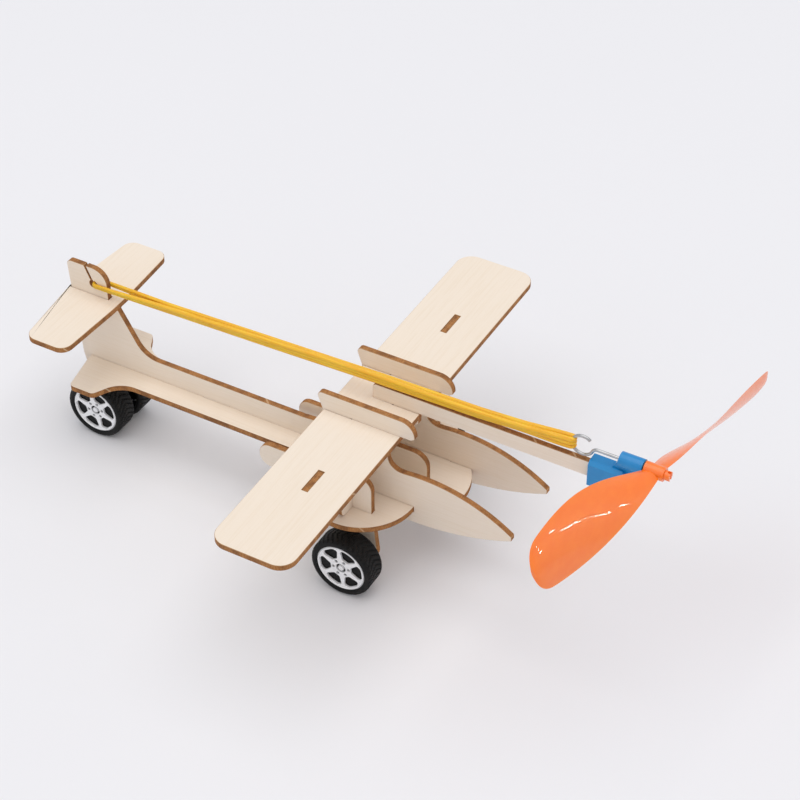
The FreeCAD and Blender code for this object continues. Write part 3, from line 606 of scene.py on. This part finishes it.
# ---------------------------------------------------------------- rubber band
EYE_X, EYE_Z = -120.4, 4.4
HOOK_X, HOOK_Z = 50.4, 10.3
STRAND_RADIUS = 0.80
LAYERS = (-1, 0, 1)
BAND_LINE = [
    (EYE_X, EYE_Z),
    (-92.0, 4.9),
    (-50.0, 6.3),
    (-14.0, 7.6),
    (20.0, 8.4),
    (46.0, 10.0),
    (HOOK_X, HOOK_Z),
]
RUN_REAR, RUN_FRONT = EYE_X + 1.2, HOOK_X - 0.6
RUN_STEPS, TURN_STEPS = 84, 8
HOOK_BOW, EYE_BOW = 1.25, -1.0
# stations between which the strands gather behind the fin and open again at the hook
GATHER_START, GATHER_END = -119, -88
OPEN_START, OPEN_END = 32, 50
# the strands' offsets from the band's middle at the eye, and how gathering and opening change them
EYE_SPREAD, SPREAD_LOST, SPREAD_REGAINED = 1.72, 1.10, 0.25
EYE_RISE, RISE_GATHERED, RISE_OPENED = 0.22, 0.60, 0.46
LEAN_MOST, LEAN_WAVE = math.radians(14), 0.055
# the share of its radius that a strand keeps where it is stretched round the eye
STRETCHED = 0.76
STRETCH_START, STRETCH_END = -112, -80


def band_height(x):
    """Height of the band's middle at a station, sagging a little between its ends."""
    for (x0, z0), (x1, z1) in zip(BAND_LINE, BAND_LINE[1:]):
        if x <= x1:
            return z0 + (z1 - z0) * max(0.0, (x - x0) / (x1 - x0))
    return HOOK_Z


def strand_point(x, side, layer):
    """Where a strand runs at a station: apart at the fin, then side by side in one bundle."""
    gathered = smooth_step(x, GATHER_START, GATHER_END)
    opened = smooth_step(x, OPEN_START, OPEN_END)
    across = side * (EYE_SPREAD - SPREAD_LOST * gathered + SPREAD_REGAINED * opened)
    level = layer * (EYE_RISE + RISE_GATHERED * gathered + RISE_OPENED * opened)
    lean = LEAN_MOST * gathered * (1 - opened) * math.sin(LEAN_WAVE * x)
    across, level = (
        across * math.cos(lean) - level * math.sin(lean),
        across * math.sin(lean) + level * math.cos(lean),
    )
    return Vector((x, across, band_height(x) + level))


def band_loop(layer):
    """One closed loop of rubber: through the fin's eye, along, round the hook and back."""
    length = RUN_FRONT - RUN_REAR
    stations = [RUN_REAR + length * step / RUN_STEPS for step in range(RUN_STEPS + 1)]
    points = [strand_point(x, -1, layer) for x in stations]
    points += half_turn(RUN_FRONT, points[-1], HOOK_BOW)
    points += [strand_point(x, 1, layer) for x in reversed(stations)]
    points += half_turn(RUN_REAR, points[-1], EYE_BOW)
    return points


def half_turn(x, start, reach):
    """The bow that carries a strand from one side of the band to the other at its end."""
    bow = []
    for step in range(1, TURN_STEPS):
        angle = math.pi * step / TURN_STEPS
        bow.append(Vector((x + reach * math.sin(angle), start.y * math.cos(angle), start.z)))
    return bow


def make_band():
    """Three loops of rubber side by side, which twist in front with the hook."""
    curve = bpy.data.curves.new("band", "CURVE")
    curve.dimensions = "3D"
    curve.bevel_depth = STRAND_RADIUS * MM
    curve.bevel_resolution = 4
    for layer in LAYERS:
        points = band_loop(layer)
        spline = curve.splines.new("POLY")
        spline.points.add(len(points) - 1)
        for spot, point in zip(points, spline.points):
            point.co = (*place(*spot), 1)
            relaxed = smooth_step(spot.x, STRETCH_START, STRETCH_END)
            point.radius = STRETCHED + (1 - STRETCHED) * relaxed
        spline.use_cyclic_u = True
    holder = bpy.data.objects.new("band", curve)
    mesh = bpy.data.meshes.new_from_object(holder)
    bpy.data.objects.remove(holder)
    piece = new_piece("wound_rubber_band", mesh, band_rubber(), None, "rubber_band")
    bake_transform(piece)


make_band()


# ---------------------------------------------------------------- floor, light and camera
FLOOR_HALF = 6.0
WORLD_STRENGTH = 0.66
BAR_SIZE, BAR_POWER, BAR_TARGET = (0.05, 0.014), 0.10, (0.10, -0.03, 0.06)
BAR_SPREADS = (-0.26, 0.10, 0.34)
# the camera's place, in millimetres from the wing's leading edge, and the way it looks
CAMERA_PLACE = (243.94, -446.43, 440.67)
CAMERA_LOOKS = (-0.37263, 0.66181, -0.65050)
CAMERA_LENS, CAMERA_SENSOR = 99.64, 36.0


def make_floor():
    """A large sheet of pale paper, with a very slight drift of tone."""
    mesh = bpy.data.meshes.new("floor")
    shape = bmesh.new()
    bmesh.ops.create_grid(shape, x_segments=1, y_segments=1, size=FLOOR_HALF)
    shape.to_mesh(mesh)
    shape.free()
    floor = bpy.data.objects.new("floor", mesh)
    scene.collection.objects.link(floor)
    shader = Shader("floor_paper")
    tone = shader.noise(shader.stretch((0.004, 0.004, 0.004)), 1.0, 2.0)
    paper = shader.mix(tone, rgb(0.815, 0.812, 0.838), rgb(0.835, 0.832, 0.858))
    shader.paint(base_color=paper, roughness=0.9)
    mesh.materials.append(shader.material)


def make_light(name, spot, target, size, power, colour):
    """A rectangular light, out of the camera's sight; places and size are in metres."""
    data = bpy.data.lights.new(name, "AREA")
    data.shape = "RECTANGLE"
    data.size, data.size_y = size
    data.energy = power
    data.color = colour
    light = bpy.data.objects.new(name, data)
    light.location = spot
    light.rotation_euler = (Vector(target) - Vector(spot)).to_track_quat("-Z", "Y").to_euler()
    light.visible_camera = False
    scene.collection.objects.link(light)


def make_window_bars():
    """Narrow lights low in front, for the small bright dashes on the glossy plastic."""
    for column, spread in enumerate(BAR_SPREADS):
        for row in range(3):
            spot = (0.98 + 0.5 * spread, 0.86 - 0.7 * spread, 0.22 + 0.11 * row + 0.10 * column)
            name = f"window_bar_{column}_{row}"
            make_light(name, spot, BAR_TARGET, BAR_SIZE, BAR_POWER, (1.0, 1.0, 1.0))


def make_world():
    """An even, slightly cool light from all round."""
    world = bpy.data.worlds.new("studio")
    world.use_nodes = True
    background = world.node_tree.nodes["Background"]
    background.inputs["Color"].default_value = rgb(0.96, 0.97, 1.0)
    background.inputs["Strength"].default_value = WORLD_STRENGTH
    scene.world = world


def make_camera():
    data = bpy.data.cameras.new("camera")
    data.lens = CAMERA_LENS
    data.sensor_width = CAMERA_SENSOR
    data.clip_end = 50.0
    camera = bpy.data.objects.new("camera", data)
    camera.location = place(*CAMERA_PLACE)
    camera.rotation_euler = Vector(CAMERA_LOOKS).to_track_quat("-Z", "Y").to_euler()
    scene.collection.objects.link(camera)
    scene.camera = camera


make_floor()
make_world()
make_light(
    "overhead_softbox",
    spot=(0.0, -0.1, 1.9),
    target=(0, 0, 0),
    size=(2.2, 2.2),
    power=20.0,
    colour=(1.0, 0.985, 0.96),
)
make_light(
    "window_near",
    spot=(-0.5, -1.3, 0.9),
    target=(0, 0, 0.03),
    size=(1.0, 0.9),
    power=1.0,
    colour=(1.0, 0.99, 0.97),
)
make_window_bars()
make_camera()
scene.view_settings.view_transform = "Standard"
